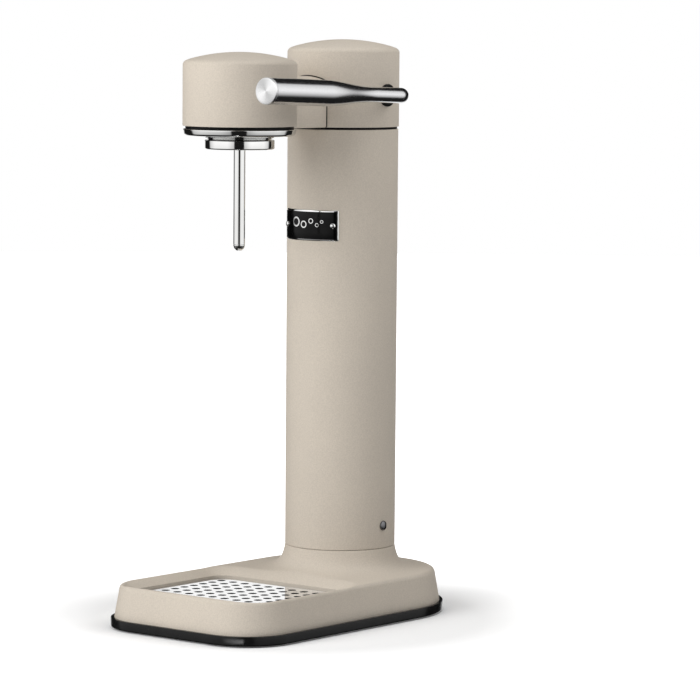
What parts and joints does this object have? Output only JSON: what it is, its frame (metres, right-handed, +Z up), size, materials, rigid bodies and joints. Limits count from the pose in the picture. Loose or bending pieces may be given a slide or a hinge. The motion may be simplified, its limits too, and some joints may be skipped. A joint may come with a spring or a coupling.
{
  "type": "soda carbonator",
  "caption": "Countertop soda carbonator: round column with a gas cylinder inside, side lever, overhanging head with nozzle and bottle collar, lift-out drip tray.",
  "frame": {"origin": "middle of the footprint, on the table", "axes": "+Z up, the front faces -Y, the lever is on the +X side"},
  "size_m": [0.153, 0.258, 0.414],
  "materials": {
    "sand_coat": "fine matt powder coat, warm sand colour",
    "black_plastic": "satin black moulding",
    "rubber": "matt",
    "polished_steel": "polished stainless steel",
    "brushed_steel": "satin turned steel",
    "screw_steel": "zinc plated",
    "brass": "machined",
    "gloss_black": "high gloss enamel",
    "cylinder_paint": "painted gas bottle",
    "hose": "translucent pressure hose",
    "spring_steel": "drawn wire"
  },
  "bodies": {
    "housing": {"arm_screw_1": "screw_steel", "arm_screw_2": "screw_steel", "axle_bushing_left": "black_plastic", "axle_bushing_right": "black_plastic", "badge_frame": "polished_steel", "badge_plate": "gloss_black", "badge_rivet_left": "polished_steel", "badge_rivet_right": "polished_steel", "base_plate": "black_plastic", "base_shell": "sand_coat", "base_trim": "black_plastic", "bottle_collar": "polished_steel", "bottle_seal": "rubber", "bottle_socket": "black_plastic", "column_cap": "sand_coat", "column_screw_left": "brushed_steel", "column_screw_right": "brushed_steel", "column_spigot": "black_plastic", "column_tube": "sand_coat", "cylinder_guide": "black_plastic", "cylinder_seal": "rubber", "foot_back_left": "rubber", "foot_back_right": "rubber", "foot_front_left": "rubber", "foot_front_right": "rubber", "gas_hose": "hose", "head_chassis": "brushed_steel", "head_flange": "polished_steel", "head_screw_1": "screw_steel", "head_screw_2": "screw_steel", "head_screw_3": "screw_steel", "head_shell": "sand_coat", "neck_bridge": "sand_coat", "nozzle_holder": "brass", "nozzle_tip": "polished_steel", "nozzle_tube": "polished_steel", "plate_screw_1": "screw_steel", "plate_screw_2": "screw_steel", "plate_screw_3": "screw_steel", "plate_screw_4": "screw_steel", "relief_bonnet": "brass", "relief_spring": "spring_steel", "return_spring": "spring_steel", "top_chassis": "black_plastic", "valve_block": "brass", "valve_screw_1": "screw_steel", "valve_screw_2": "screw_steel"},
    "lever": {"lever": "brushed_steel", "handle_end_cap": "brushed_steel", "lever_axle": "brushed_steel", "cam": "brushed_steel", "cam_set_screw": "brushed_steel"},
    "push_pin": {"push_pin": "brushed_steel"},
    "gas_cylinder": {"gas_cylinder": "cylinder_paint", "cylinder_valve": "brass"},
    "valve_pin": {"cylinder_valve_pin": "brushed_steel"},
    "drip_tray": {"drip_tray": "black_plastic"},
    "drip_grille": {"drip_grille": "polished_steel"},
    "relief_poppet": {"relief_poppet": "rubber"}
  },
  "joints": [
    {"name": "lever_hinge", "type": "hinge", "parent": "housing", "child": "lever", "pos_m": [0, 0.057, 0.3745], "axis": [1, 0, 0], "range_deg": [0, 35], "stiffness_Nm_per_rad": 3, "springref_deg": -17.19},
    {"name": "push_pin_slide", "type": "slide", "parent": "housing", "child": "push_pin", "axis": [0, 0, -1], "range_m": [0, 0.0031], "deforming": ["return_spring"]},
    {"name": "cylinder_slide", "type": "slide", "parent": "housing", "child": "gas_cylinder", "axis": [0, 0, -1], "range_m": [0, 0.005]},
    {"name": "valve_pin_slide", "type": "slide", "parent": "gas_cylinder", "child": "valve_pin", "axis": [0, 0, -1], "range_m": [0, 0.0031]},
    {"name": "tray_lift", "type": "slide", "parent": "housing", "child": "drip_tray", "axis": [0, 0, 1], "range_m": [0, 0.05]},
    {"name": "grille_lift", "type": "slide", "parent": "drip_tray", "child": "drip_grille", "axis": [0, 0, 1], "range_m": [0, 0.05]},
    {"name": "relief_slide", "type": "slide", "parent": "housing", "child": "relief_poppet", "axis": [0, 0, 1], "range_m": [0, 0.0015], "stiffness_N_per_m": 200, "springref_m": -0.004, "deforming": ["relief_spring"]}
  ],
  "couplings": [
    {"joint": "push_pin_slide", "follows": "lever_hinge", "m_per_rad": 0.0049111},
    {"joint": "valve_pin_slide", "follows": "lever_hinge", "m_per_rad": 0.0049111}
  ]
}
